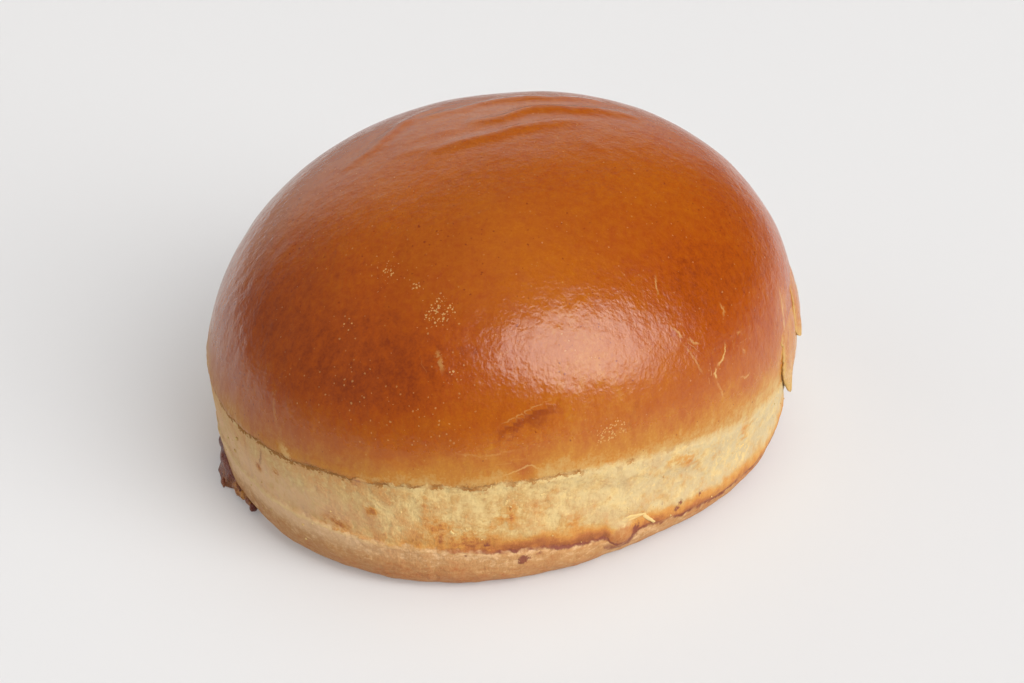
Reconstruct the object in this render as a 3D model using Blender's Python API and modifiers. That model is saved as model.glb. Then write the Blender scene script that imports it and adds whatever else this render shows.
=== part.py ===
"""Brioche bun: a glazed dome over a pale belt, on a flat base.

Run it with blender --background --python part.py, or from Blender's text editor.
Lengths are in metres and +Z is up. The bun stands on z = 0, with the middle of
its box on the Z axis. Directions round it are degrees from +X towards +Y, so its
front is at 270.
"""

import math
from collections import namedtuple

import bmesh
import bpy

# Driving dimensions of the whole bun
MEAN_RADIUS = 0.0550  # of the outline seen from above
HEIGHT = 0.0632  # from the base to the top of the dome
SEAM_HEIGHT = 0.0202  # mean height of the glazed crust's lower edge
LIP = 0.0007  # how far the glazed crust stands out over the belt, on average
TOP_SHIFT = (0.0051, 0.0017)  # the top lies this far from the outline's axis
DOME_FULLNESS = 2.17  # 2 would be an ellipse, and more is boxier
BELT_TAPER = 0.0015  # the belt draws in this much from the outline to the foot
BELT_CURVE = 1.6  # 1 would taper evenly, and more does so lower down
FOOT_HEIGHT = 0.0070  # height of the rounded foot
FOOT_INSET = 0.0054  # the flat base lies this far inside the belt
HEEL_STEP = 0.0005  # the tray crust at the foot stands out this much
HEEL_BLEND = 0.0012  # height over which it does

# A wave round the bun: its height, how often it repeats and where it peaks
Wave = namedtuple("Wave", "size repeats peak_at")
OUTLINE_WAVES = (Wave(0.0023, 2, 35), Wave(0.0012, 3, 10), Wave(0.0003, 4, 68))
SEAM_WAVES = (Wave(0.0030, 1, 252), Wave(0.0017, 2, 70), Wave(0.0008, 3, 53))
LIP_WAVES = (Wave(0.0005, 1, 30),)
FOOT_WAVES = (Wave(0.0004, 1, 325), Wave(0.0004, 2, 325))
HEEL_HEIGHT = 0.0078
HEEL_WAVES = (Wave(0.0030, 1, 203), Wave(0.0014, 2, 39), Wave(0.0006, 3, 30))

# A crease in the crust on top of the dome, which rises on its front side and falls
# away behind. Its ends are seen from above, and bow bends it to the back.
Fold = namedtuple("Fold", "start end bow rise width")
FOLDS = (
    Fold((-0.0150, -0.0055), (0.0075, 0.0030), 0.0008, 0.00050, 0.0022),
    Fold((-0.0015, 0.0030), (0.0090, 0.0100), -0.0008, 0.00060, 0.0018),
    Fold((0.0060, 0.0098), (0.0290, 0.0125), -0.0010, 0.00045, 0.0018),
    Fold((-0.0040, 0.0130), (0.0190, 0.0190), 0.0015, 0.00045, 0.0020),
    Fold((-0.0185, 0.0110), (-0.0040, 0.0140), 0.0022, 0.00045, 0.0020),
    Fold((-0.0270, 0.0060), (-0.0110, 0.0190), 0.0010, 0.00040, 0.0030),
)
FOLD_BACK = 2.6  # a fold falls away this many times more gently than it rises

# Rows of points down the bun, in the order that they follow each other
SEGMENTS = 32  # of the cube that is wrapped on the bun, along each edge
ROWS_PER_FACE = SEGMENTS // 2
LEDGE_ROWS = 1
BELT_ROWS = 11
FOOT_ROWS = 6
DOME_ROWS = 3 * ROWS_PER_FACE - LEDGE_ROWS - BELT_ROWS - FOOT_ROWS
TINY = 1e-6

# Slivers of crust that have come away at the right and hang down over the belt
Flake = namedtuple("Flake", "name middle tip_at half_width top tip lift")
FLAKES = (
    Flake("large_flake", 353, 349, 5.5, 0.0330, 0.0142, 0.0008),
    Flake("small_flake", 361, 357, 4.0, 0.0375, 0.0215, 0.0015),
)
FLAKE_THICKNESS = 0.0009
FLAKE_ROOT = 0.0008  # its upper end starts this deep in the dome
FLAKE_HEM = 0.0006  # and the sides of that end are deeper still
FLAKE_CURL = 1.5  # 1 would lift it evenly on its way down, and more does so later
FLAKE_TIP_WIDTH = 0.14  # of its full width
FLAKE_CUTS = 9

# Egg wash that ran down at the left and burnt between the foot and the tray. It is
# a skirt whose face leans into the belt, with a spur low on it and uneven lumps.
DRIP_FROM = 189  # degrees
DRIP_TO = 214
DRIP_BASE = 0.0003  # clear of the surface, so that the bun stands on its base
DRIP_TOP = 0.0092
DRIP_FALL = 0.0032  # its top is this much lower at DRIP_TO
DRIP_REACH = 0.0546  # distance of its face from the bun's axis at DRIP_FROM
DRIP_DRAW_IN = 0.0014  # less at DRIP_TO
DRIP_LEAN = 0.0012  # its top leans in this much
DRIP_ENDS = 0.0027  # both ends turn in this much
DRIP_DEPTH = 0.0090  # how far it goes back into the foot
DRIP_SPUR = 0.0013
DRIP_SPUR_AT = 200.2  # degrees
DRIP_SPUR_WIDTH = 3.1
DRIP_LUMPS = 0.0005
DRIP_LUMP_ANGLE = 1.5  # degrees for each radian of the lumps' waves
DRIP_LUMP_HEIGHT = 0.0011  # and metres for each
DRIP_CUTS = 9

CRUST_COLOUR = (0.42, 0.115, 0.018, 1.0)
CRUST_ROUGHNESS = 0.38


def clear_scene():
    for item in list(bpy.data.objects):
        bpy.data.objects.remove(item, do_unlink=True)


def new_collection(name):
    collection = bpy.data.collections.new(name)
    bpy.context.scene.collection.children.link(collection)
    return collection


def crust_material():
    material = bpy.data.materials.new("glazed_crust")
    material.use_nodes = True
    shader = material.node_tree.nodes["Principled BSDF"]
    shader.inputs["Base Color"].default_value = CRUST_COLOUR
    shader.inputs["Roughness"].default_value = CRUST_ROUGHNESS
    shader.inputs["Metallic"].default_value = 0.0
    return material


def smooth_step(value):
    value = min(max(value, 0.0), 1.0)
    return value * value * (3 - 2 * value)


def waves_at(waves, azimuth):
    return sum(
        wave.size * math.cos(wave.repeats * (azimuth - math.radians(wave.peak_at)))
        for wave in waves
    )


def outline_radius(azimuth):
    return MEAN_RADIUS + waves_at(OUTLINE_WAVES, azimuth)


def seam_height(azimuth):
    return SEAM_HEIGHT + waves_at(SEAM_WAVES, azimuth)


def heel_height(azimuth):
    return HEEL_HEIGHT + waves_at(HEEL_WAVES, azimuth)


def fold_rise(fold, x, y):
    """Height that one fold adds at a place seen from above."""
    run_x = fold.end[0] - fold.start[0]
    run_y = fold.end[1] - fold.start[1]
    length = math.hypot(run_x, run_y)
    from_x = x - fold.start[0]
    from_y = y - fold.start[1]
    along = (from_x * run_x + from_y * run_y) / length**2
    if not 0 < along < 1:
        return 0.0
    bow = 4 * fold.bow * along * (1 - along)
    across = (from_y * run_x - from_x * run_y) / length - bow
    width = fold.width if across < 0 else fold.width * FOLD_BACK
    fade = math.sin(math.pi * along)
    return fold.rise * fade * math.exp(-((across / width) ** 2))


def dome_point(azimuth, climb):
    """A place on the dome, from its lower edge at climb 0 to the top at 1."""
    out = math.cos(climb * math.pi / 2) ** (2 / DOME_FULLNESS)
    up = math.sin(climb * math.pi / 2) ** (2 / DOME_FULLNESS)
    seam = seam_height(azimuth)
    x = outline_radius(azimuth) * out * math.cos(azimuth) + TOP_SHIFT[0] * up
    y = outline_radius(azimuth) * out * math.sin(azimuth) + TOP_SHIFT[1] * up
    z = seam + (HEIGHT - seam) * up
    return x, y, z + sum(fold_rise(fold, x, y) for fold in FOLDS)


def wall_radius(azimuth, z):
    """Distance of the belt from the axis, with the step where the tray crust starts."""
    drop = (seam_height(azimuth) - z) / (seam_height(azimuth) - FOOT_HEIGHT)
    lip = LIP + waves_at(LIP_WAVES, azimuth)
    taper = BELT_TAPER - lip - waves_at(FOOT_WAVES, azimuth)
    drawn_in = lip + taper * max(drop, 0.0) ** BELT_CURVE
    heel = smooth_step((heel_height(azimuth) - z) / HEEL_BLEND + 0.5)
    return outline_radius(azimuth) - drawn_in + HEEL_STEP * heel


def belt_point(azimuth, drop):
    """A place on the belt, from under the lip at drop 0 to the foot at 1."""
    seam = seam_height(azimuth)
    z = seam + (FOOT_HEIGHT - seam) * drop
    radius = wall_radius(azimuth, z)
    return radius * math.cos(azimuth), radius * math.sin(azimuth), z


def foot_point(azimuth, turn):
    """A place on the rounded foot, from the belt at turn 0 to the base at 1."""
    tuck = FOOT_INSET * (1 - math.cos(turn * math.pi / 2))
    radius = wall_radius(azimuth, FOOT_HEIGHT) - tuck
    z = FOOT_HEIGHT * (1 - math.sin(turn * math.pi / 2))
    return radius * math.cos(azimuth), radius * math.sin(azimuth), z


def base_point(azimuth, inward):
    """A place on the flat base, from its edge at inward 0 to the middle at 1."""
    radius = (wall_radius(azimuth, FOOT_HEIGHT) - FOOT_INSET) * (1 - inward)
    return radius * math.cos(azimuth), radius * math.sin(azimuth), 0.0


def bun_point(row, azimuth):
    """A place on the bun, row 0 being the top and 4 * ROWS_PER_FACE the base's middle."""
    if row <= DOME_ROWS:
        return dome_point(azimuth, 1 - row / DOME_ROWS)
    row -= DOME_ROWS + LEDGE_ROWS
    if row <= BELT_ROWS:
        return belt_point(azimuth, row / BELT_ROWS)
    row -= BELT_ROWS
    if row <= FOOT_ROWS:
        return foot_point(azimuth, row / FOOT_ROWS)
    return base_point(azimuth, (row - FOOT_ROWS) / ROWS_PER_FACE)


def disc_from_square(x, y):
    """Radius from 0 to 1 and azimuth on a disc, for a place on a square from -1 to 1."""
    x = math.sqrt(2) * math.sin(x * math.pi / 4)
    y = math.sqrt(2) * math.sin(y * math.pi / 4)
    disc_x = x * math.sqrt(1 - y * y / 2)
    disc_y = y * math.sqrt(1 - x * x / 2)
    return math.hypot(disc_x, disc_y), math.atan2(disc_y, disc_x)


def row_and_azimuth(x, y, z):
    """Where a point of the cube from -1 to 1 goes when it is wrapped on the bun."""
    radius, azimuth = disc_from_square(x, y)
    if z > 1 - TINY:
        ring = radius
    elif z < TINY - 1:
        ring = 4 - radius
    else:
        ring = 2 - z
    return ring * ROWS_PER_FACE, azimuth


def new_object(name, mesh_data, collection):
    """Makes an object of the edited mesh, facing outwards."""
    bmesh.ops.recalc_face_normals(mesh_data, faces=mesh_data.faces)
    mesh = bpy.data.meshes.new(name)
    mesh_data.to_mesh(mesh)
    mesh_data.free()
    item = bpy.data.objects.new(name, mesh)
    collection.objects.link(item)
    return item


def cut_cube(cuts):
    """A cube from -1 to 1 with this many cuts across each edge."""
    cube = bmesh.new()
    bmesh.ops.create_cube(cube, size=2)
    bmesh.ops.subdivide_edges(cube, edges=cube.edges, cuts=cuts, use_grid_fill=True)
    return cube


def make_bun(collection):
    cube = cut_cube(SEGMENTS - 1)
    for vertex in cube.verts:
        vertex.co = bun_point(*row_and_azimuth(*vertex.co))
    flat = [face for face in cube.faces if face.calc_center_median().z < TINY]
    bmesh.ops.dissolve_faces(cube, faces=flat, use_verts=True)
    return new_object("brioche_bun", cube, collection)


def crust_radius(azimuth, z):
    """Distance of the dome from the axis at a height, and of its edge below that."""
    seam = seam_height(azimuth)
    up = max((z - seam) / (HEIGHT - seam), 0.0)
    out = (1 - up**DOME_FULLNESS) ** (1 / DOME_FULLNESS)
    shift = TOP_SHIFT[0] * math.cos(azimuth) + TOP_SHIFT[1] * math.sin(azimuth)
    return outline_radius(azimuth) * out + shift * up


def make_flake(flake, collection):
    """A thin sheet that leaves the dome at its upper end and narrows to a tip."""
    sheet = bmesh.new()
    bmesh.ops.create_grid(sheet, x_segments=FLAKE_CUTS, y_segments=FLAKE_CUTS, size=1)
    for vertex in sheet.verts:
        fall = (1 - vertex.co.y) / 2
        narrowing = math.sqrt(1 - (1 - FLAKE_TIP_WIDTH**2) * fall**2)
        middle = flake.middle + (flake.tip_at - flake.middle) * fall
        azimuth = math.radians(middle + flake.half_width * narrowing * vertex.co.x)
        z = flake.top + (flake.tip - flake.top) * fall
        sink = FLAKE_ROOT * (1 - fall) ** 2 + FLAKE_HEM * vertex.co.x**4 * (1 - fall)
        radius = crust_radius(azimuth, z) + flake.lift * fall**FLAKE_CURL - sink
        vertex.co = (radius * math.cos(azimuth), radius * math.sin(azimuth), z)
    item = new_object(flake.name, sheet, collection)
    shell = item.modifiers.new("thickness", "SOLIDIFY")
    shell.thickness = FLAKE_THICKNESS
    shell.offset = 0
    return item


def drip_lump(degrees, z):
    along = (degrees - DRIP_FROM) / DRIP_LUMP_ANGLE
    up = z / DRIP_LUMP_HEIGHT
    return DRIP_LUMPS * math.sin(along + up / 2) * math.cos(up - along * 0.7)


def drip_radius(degrees, z, up):
    """Distance of the drip's face from the axis, up being 0 at its foot and 1 at its top."""
    along = (degrees - DRIP_FROM) / (DRIP_TO - DRIP_FROM)
    spur = DRIP_SPUR * math.exp(-(((degrees - DRIP_SPUR_AT) / DRIP_SPUR_WIDTH) ** 2))
    draw_in = DRIP_DRAW_IN * smooth_step(2 * along - 0.6)
    turn_in = DRIP_ENDS * (2 * along - 1) ** 6
    lean = DRIP_LEAN * up**2
    face = DRIP_REACH + spur * (1 - up) - draw_in - turn_in - lean
    return face + drip_lump(degrees, z)


def make_drip(collection):
    """A lumpy skirt that fills the corner under the rounded foot and reaches out of it."""
    cube = cut_cube(DRIP_CUTS)
    for vertex in cube.verts:
        outward, along, up = ((value + 1) / 2 for value in vertex.co)
        degrees = DRIP_FROM + (DRIP_TO - DRIP_FROM) * along
        azimuth = math.radians(degrees)
        top = DRIP_TOP - DRIP_FALL * along + drip_lump(degrees, DRIP_TOP)
        z = DRIP_BASE + (top - DRIP_BASE) * up
        radius = drip_radius(degrees, z, up) - DRIP_DEPTH * (1 - outward)
        vertex.co = (radius * math.cos(azimuth), radius * math.sin(azimuth), z)
    return new_object("drip", cube, collection)


def fuse(bun, additions):
    """Joins a collection's objects to the bun as one solid, and removes them."""
    join = bun.modifiers.new("join", "BOOLEAN")
    join.operation = "UNION"
    join.operand_type = "COLLECTION"
    join.collection = additions
    join.solver = "EXACT"
    graph = bpy.context.evaluated_depsgraph_get()
    fused = bpy.data.meshes.new_from_object(bun.evaluated_get(graph))
    bun.modifiers.clear()
    bun.data = fused
    for item in list(additions.objects):
        bpy.data.objects.remove(item, do_unlink=True)
    bpy.data.collections.remove(additions)


def stand_on_origin(bun):
    """Moves the mesh so that the middle of its box lies on the Z axis."""
    across = [vertex.co.x for vertex in bun.data.vertices]
    deep = [vertex.co.y for vertex in bun.data.vertices]
    middle_x = (min(across) + max(across)) / 2
    middle_y = (min(deep) + max(deep)) / 2
    for vertex in bun.data.vertices:
        vertex.co.x -= middle_x
        vertex.co.y -= middle_y


def main():
    clear_scene()
    parts = new_collection("brioche_bun")
    additions = new_collection("additions")
    bun = make_bun(parts)
    for flake in FLAKES:
        make_flake(flake, additions)
    make_drip(additions)
    fuse(bun, additions)
    stand_on_origin(bun)
    bun.data.materials.clear()
    bun.data.materials.append(crust_material())
    bun.data.shade_smooth()


main()
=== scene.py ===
"""Brioche bun: a glazed domed crust over a pale belt, on a plain pale floor.

The file is laid out as an add-on and is run as a script. Lengths are in metres, +Z is
up and the bun stands on z = 0. Directions round it are degrees from +X towards +Y, so
its front is at 270.
"""

import math
from collections import namedtuple

import bmesh
import bpy
import numpy as np
from bpy.props import FloatProperty, FloatVectorProperty, IntProperty, PointerProperty
from mathutils import Matrix, Vector, noise
from mathutils.bvhtree import BVHTree


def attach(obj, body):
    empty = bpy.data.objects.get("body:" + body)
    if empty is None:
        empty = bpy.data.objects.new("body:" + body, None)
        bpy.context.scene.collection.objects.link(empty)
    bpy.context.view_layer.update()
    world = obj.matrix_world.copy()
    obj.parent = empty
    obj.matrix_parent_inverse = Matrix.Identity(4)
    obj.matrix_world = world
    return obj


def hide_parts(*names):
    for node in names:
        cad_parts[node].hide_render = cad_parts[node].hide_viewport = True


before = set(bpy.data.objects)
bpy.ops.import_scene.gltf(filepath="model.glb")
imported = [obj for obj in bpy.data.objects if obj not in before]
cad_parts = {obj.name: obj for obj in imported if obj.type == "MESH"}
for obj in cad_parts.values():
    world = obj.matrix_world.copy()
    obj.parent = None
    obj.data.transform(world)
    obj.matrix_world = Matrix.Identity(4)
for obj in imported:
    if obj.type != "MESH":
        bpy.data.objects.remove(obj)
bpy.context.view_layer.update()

bl_info = {
    "name": "Brioche Bun",
    "version": (1, 0, 0),
    "blender": (4, 5, 0),
    "location": "View3D > Sidebar > Bun",
    "description": "Bakes one glazed brioche bun and lights it on a pale floor",
    "category": "Object",
}

MM = 0.001

# Form of the bun, the same as the solid's
AXIS = (-0.0020313, 0.0008494)  # the outline's axis, seen from the middle of the box
TOP_SHIFT = (0.0051, 0.0017)  # the top lies this far from the outline's axis
DOME_FULLNESS = 2.17  # 2 would be an ellipse, and more is boxier
BELT_TAPER = 0.0015  # the belt draws in this much from the outline to the foot
BELT_CURVE = 1.6  # 1 would taper evenly, and more does so lower down
FOOT_HEIGHT = 0.0070
FOOT_INSET = 0.0054  # the flat base lies this far inside the belt
HEEL_STEP = 0.0005  # the tray crust at the foot stands out this much
HEEL_BLEND = 0.0011  # height over which it does
HEEL_HEIGHT = 0.0078
KNOB_AT = 296  # degrees, where a knob of dough hangs over the heel
KNOB_WIDTH = 2.9
KNOB_HEIGHT = 0.0062
KNOB_TALL = 0.0023
KNOB_OUT = 0.0008
KNOB_DIP = 0.0020
KNOB_RIM_AT = KNOB_AT + 0.2  # a dark rim at its edge beside it, and a dark band under it
KNOB_RIM_WIDTH = 1.2
KNOB_RIM_TALL = 0.0014
KNOB_UNDER = 0.0004
KNOB_UNDER_TALL = 0.0012

# A wave round the bun: its height, how often it repeats and where it peaks
Wave = namedtuple("Wave", "size repeats peak_at")
OUTLINE_WAVES = (Wave(0.0023, 2, 35), Wave(0.0012, 3, 10), Wave(0.0003, 4, 68))
SEAM_WAVES = (Wave(0.0030, 1, 252), Wave(0.0017, 2, 70), Wave(0.0008, 3, 53))
LIP_WAVES = (Wave(0.0005, 1, 30),)
FOOT_WAVES = (Wave(0.0004, 1, 325), Wave(0.0004, 2, 325))
HEEL_WAVES = (Wave(0.0030, 1, 203), Wave(0.0014, 2, 39), Wave(0.0006, 3, 30))

# A crease on top of the dome: places along its crest in mm, how high it is, and the
# width over which it rises in front of the crest and falls away behind it
Crease = namedtuple("Crease", "crest rise front back")
CREASES = (
    Crease(((-13, -3.6), (-9.3, -2.2), (-4.8, -0.9), (-1.7, -0.1), (1.4, 1.1), (4.0, 2.7),
            (8.2, 4.5), (12.7, 6.3), (17, 7.0)), 0.75, 3.0, 4.2),
    Crease(((-5, 7.2), (-0.9, 7.4), (2.0, 7.7), (4.0, 9.5), (5.6, 11.2), (8.0, 12.3), (12, 12.4),
            (15.4, 12.7), (21.4, 14.2), (28, 14.4)), 0.88, 3.3, 3.8),
    Crease(((-7, 15.0), (-3.9, 16.2), (-0.4, 17.5), (2.5, 18.3), (7.2, 18.8), (11.6, 19.3),
            (15.7, 20.2), (21, 20.4)), 0.72, 2.9, 3.8),
    Crease(((-28, 0.0), (-22, 4.7), (-19.8, 8.5), (-17.5, 11.8), (-15.2, 15.4), (-13.1, 17.5),
            (-9.5, 19.5)), 0.48, 2.8, 3.2),
    Crease(((-19, 12.5), (-13.2, 13.4), (-8.2, 14.6), (-3.5, 14.4)), 0.36, 3.0, 3.5),
    Crease(((-18.5, -2.0), (-15, -1.1), (-11, -1.0)), 0.22, 1.8, 2.4),
    Crease(((-14, 3.6), (-9.5, 4.1), (-5.5, 5.2)), 0.20, 1.8, 2.6),
    Crease(((16.6, 0.2), (18.8, -1.6), (21, -3.4)), 0.22, 1.8, 2.2),
)

# Rows of points down the crust, in the order that they follow each other
CUBE_CELLS = 128  # along each edge of the cube that is wrapped on the bun
HALF_CELLS = CUBE_CELLS // 2
SEAM_ROWS = 26
BELT_ROWS = 38
FOOT_ROWS = 16
DOME_ROWS = 3 * HALF_CELLS - SEAM_ROWS - BELT_ROWS - FOOT_ROWS
SEAM_BAND = 0.0030  # the seam's close rows take this much height
SEAM_FADE = 0.0040  # the seam's wander dies out over this height of dome
TINY = 1e-6
FAR = 1.0
NOISE_APART = 17.3  # one seed's noise is read this far from the next one's
RING_RADIUS = 0.054  # uneven heights round the bun are read from noise on this ring
RING_STEPS = 4096
# Bumps of the crust: how much of them, their size, the seed of their noise, their stretch
Bumps = namedtuple("Bumps", "share size seed stretch", defaults=((1, 1, 1),))
SEAM_TEETH = (Bumps(0.0006, 0.0016, 3),)
SEAM_WANDER = (Bumps(0.0005, 0.0075, 1), Bumps(0.0003, 0.0028, 2))
HEEL_WANDER = (Bumps(0.0005, 0.0085, 4), Bumps(0.0002, 0.0030, 5))
OPEN_WANDER = (Bumps(0.6, 0.006, 6),)
OPEN_GAPS = (Bumps(1.3, 0.0024, 7),)
DOME_BUMPS = (Bumps(1, 0.021, 11), Bumps(0.45, 0.009, 12), Bumps(0.16, 0.0042, 13))
RIDGE_BUMPS = (Bumps(0.00020, 0.0026, 14, (1, 1, 9)),)  # upright ridges at the left
BELT_BUMPS = (Bumps(1, 0.0085, 21, (1, 1, 0.7)), Bumps(0.6, 0.0034, 22), Bumps(0.35, 0.0015, 23))
RISE_BUMPS = (Bumps(0.28, 0.010, 31),)
FINE_RISE_BUMPS = (Bumps(0.2, 0.004, 32),)
SEAM_BAKE_BUMPS = (Bumps(0.13, 0.0048, 34), Bumps(0.07, 0.0022, 35))
BELT_BAKE_BUMPS = (Bumps(0.06, 0.011, 33),)

# Relief of the crust, with the upright ridges at the left
DOME_START = 0.0015  # the dome's relief comes in over this height
BASE_END = 0.0006  # and the belt's dies out over this one
RIDGES_AT = 208
RIDGES_WIDTH = 18
RIDGES_MIDDLE = 0.012
RIDGES_REACH = 0.022
CRACK_DROP = 0.00042  # the open seam's groove lies this far under the glaze's edge
CRACK_WIDTH = 0.00034
PUFF = 0.00018  # and the edge swells above it, this much at this height
PUFF_HEIGHT = 0.0007
HEEL_CREASE = 0.00016
HEEL_CREASE_WIDTH = 0.00035

# Slivers of crust that have come away at the right and hang down over the belt
Sliver = namedtuple("Sliver", "middle tip_at half_width top tip lift point")
SLIVERS = (
    Sliver(352, 349, 6.2, 0.0340, 0.0142, 0.0010, 0.50),
    Sliver(361, 357, 3.6, 0.0385, 0.0218, 0.0012, 0.16),
)
SLIVER_ROOT = 0.0010
SLIVER_HEM = 0.0002  # the edge towards the front stays this close to the dome
SLIVER_CURL = 1.5
SLIVER_TIP = 0.06  # share of the width that is left at the tip
# Noise down a sliver: how often it changes, its seed and how much of it there is
SLIVER_RAGGED = ((7, 5.0, 0.20), (24, 9.0, 0.12))
SLIVER_LUMPS = ((4, 2.0, 0.00030),)
SLIVER_PALER = 0.60  # their bake is this share of the dome's

# Egg wash that ran down at the left and burnt between the foot and the tray
DRIP_FROM = 189
DRIP_TO = 214
DRIP_BASE = 0.0003
DRIP_TOP = 0.0092
DRIP_FALL = 0.0032
DRIP_REACH = 0.0546
DRIP_DRAW_IN = 0.0014
DRIP_LEAN = 0.0012
DRIP_ENDS = 0.0027
DRIP_DEPTH = 0.0090
DRIP_SPUR = 0.0013
DRIP_SPUR_AT = 200.2
DRIP_SPUR_WIDTH = 3.1
DRIP_LUMPS = 0.0005
DRIP_LUMP_ANGLE = 1.5
DRIP_LUMP_HEIGHT = 0.0011
DRIP_ROUGH = ((0.0022, 0.00028), (0.0009, 0.00010))  # size and height of its grit
DRIP_THIN = (0.12, 0.62)  # how thin it is, and how much thinner low down in its middle
DRIP_CELLS = 40
LOWEST = 0.0001  # the drip stays this far off the floor
# Drops on it: degrees, distance from the axis, height, radius, how tall and how thin
Drop = namedtuple("Drop", "azimuth distance height radius tall thin")
DROPS = (
    Drop(212.3, 0.0535, 0.0012, 0.00085, 1.1, 0.30),
    Drop(210.6, 0.0535, 0.0021, 0.00090, 1.5, 0.75),
    Drop(208.8, 0.0534, 0.0024, 0.00115, 1.5, 0.85),
    Drop(206.6, 0.0536, 0.0028, 0.00140, 1.5, 0.80),
    Drop(202.2, 0.0557, 0.0014, 0.00035, 3.6, 0.55),
)
DROP_UNEVEN = (0.0007, 0.35)  # size and share of their lumps

# Where the seam is open: (degrees, strength from 0 to 1)
SEAM_OPEN = (
    (0, 0.25), (60, 0.35), (120, 0.3), (170, 0.5), (195, 0.8), (205, 1.0), (232, 1.0),
    (240, 0.75), (252, 0.6), (264, 0.65), (272, 0.35), (279, 0.5), (286, 0.7), (289, 0.1),
    (295, 0.1), (298, 0.7), (300, 0.1), (306, 0.35), (312, 0.3), (318, 0.08),
    (345, 0.12), (360, 0.25),
)
# Height over which the dome's edge steps in to the belt: (degrees, metres)
LIP_DROPS = (
    (0, 0.0075), (60, 0.0045), (150, 0.0016), (195, 0.0008), (240, 0.0009), (268, 0.0018),
    (285, 0.0045), (300, 0.0080), (345, 0.0100), (360, 0.0075),
)
# How burnt the heel's line is and how toasted the crust above it: (degrees, strength)
HEEL_SCORCH = (
    (0, 0.25), (30, 0.4), (60, 0.15), (95, 0.5), (120, 0.2), (150, 0.35), (185, 0.1),
    (225, 0.0), (250, 0.05), (258, 0.15), (262, 0.5), (265, 0.3), (267, 0.6),
    (269.5, 0.4), (271, 0.8), (276, 1.0), (289, 1.0), (294, 0.9), (299, 0.75),
    (305, 0.60), (315, 0.75), (330, 0.70), (345, 0.50), (360, 0.25),
)
HEEL_TOAST = (
    (0, 0.6), (40, 0.55), (90, 0.45), (150, 0.35), (200, 0.15), (240, 0.15), (255, 0.35),
    (265, 0.55), (273, 0.95), (285, 1.0), (296, 1.0), (304, 0.95), (330, 0.85), (360, 0.6),
)
# How baked the belt is
BELT_BAKE = (
    (0, 0.12), (60, 0.16), (120, 0.26), (170, 0.32), (200, 0.42), (215, 0.42), (235, 0.36),
    (255, 0.24), (270, 0.17), (280, 0.13), (300, 0.10), (330, 0.10), (360, 0.12),
)
# How much of the belt and foot is a pinkish pale skin, and how much of a dull white one
BLUSH = (
    (0, 0.0), (60, 0.25), (120, 0.45), (180, 0.7), (205, 0.80), (230, 0.80), (244, 0.40),
    (256, 0.12), (270, 0.05), (300, 0.0), (360, 0.0),
)
DULLNESS = (
    (0, 0.65), (60, 0.35), (150, 0.2), (200, 0.1), (255, 0.08), (280, 0.22), (300, 0.60),
    (320, 0.85), (345, 0.90), (360, 0.65),
)
# How much darker or paler than usual the foot is baked
FOOT_BAKE = (
    (0, 0.28), (60, 0.18), (120, 0.06), (190, -0.10), (236, -0.10), (250, 0.0), (268, 0.04),
    (290, 0.0), (312, 0.14), (340, 0.28), (360, 0.28),
)
# How crisply the glaze ends at the seam, from nearly 0 for a soft fade to 1
EDGE_CRISPNESS = (
    (0, 0.22), (60, 0.35), (150, 0.8), (200, 1.0), (270, 1.0), (284, 0.75), (292, 0.40),
    (302, 0.26), (345, 0.20), (360, 0.22),
)
# Height over the seam where the dome starts to colour: (degrees, metres)
GOLD_RISE = (
    (0, 0.0018), (60, 0.0014), (150, 0.0008), (192, 0.0012), (203, -0.0018), (222, -0.0010),
    (242, 0.0009), (265, 0.0005), (285, 0.0005), (310, 0.0010), (335, 0.0022), (360, 0.0018),
)
# The dome's bake over that: (metres, bake)
DOME_BAKE = ((0.0, 0.20), (0.003, 0.46), (0.006, 0.64), (0.009, 0.76), (0.014, 0.90), (0.021, 1.0))
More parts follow.
